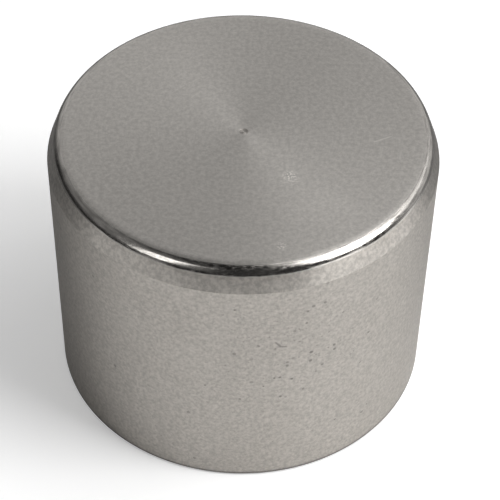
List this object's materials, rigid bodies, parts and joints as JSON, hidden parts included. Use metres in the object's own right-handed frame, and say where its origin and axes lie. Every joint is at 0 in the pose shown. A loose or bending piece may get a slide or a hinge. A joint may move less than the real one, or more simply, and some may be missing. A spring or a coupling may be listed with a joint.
{
  "type": "pipe cap",
  "caption": "Round smooth-sided threaded pipe cap with a rounded rim, a flat end face and a bonded sealing washer inside its socket.",
  "frame": {"origin": "centre of the mouth face, which the cap stands on", "axes": "+Z along the thread's axis from the mouth to the closed end; +X and +Y are any two directions across it, because the outside is round"},
  "size_m": [0.057, 0.057, 0.044],
  "materials": {
    "stainless_steel": "turned end face with fine concentric marks, polished rim, skim-turned band, matte lightly pitted body, cut thread inside",
    "plated_steel": "zinc-plated, satin",
    "nitrile_rubber": "moulded black nitrile, matte"
  },
  "bodies": {
    "cap": {"cap_body": "stainless_steel"},
    "bonded_seal": {"seal_metal_ring": "plated_steel", "seal_rubber_ring": "nitrile_rubber"}
  },
  "joints": [
    {"name": "seal_lift_out", "type": "slide", "parent": "cap", "child": "bonded_seal", "axis": [0, 0, -1], "range_m": [0, 0.034]}
  ]
}
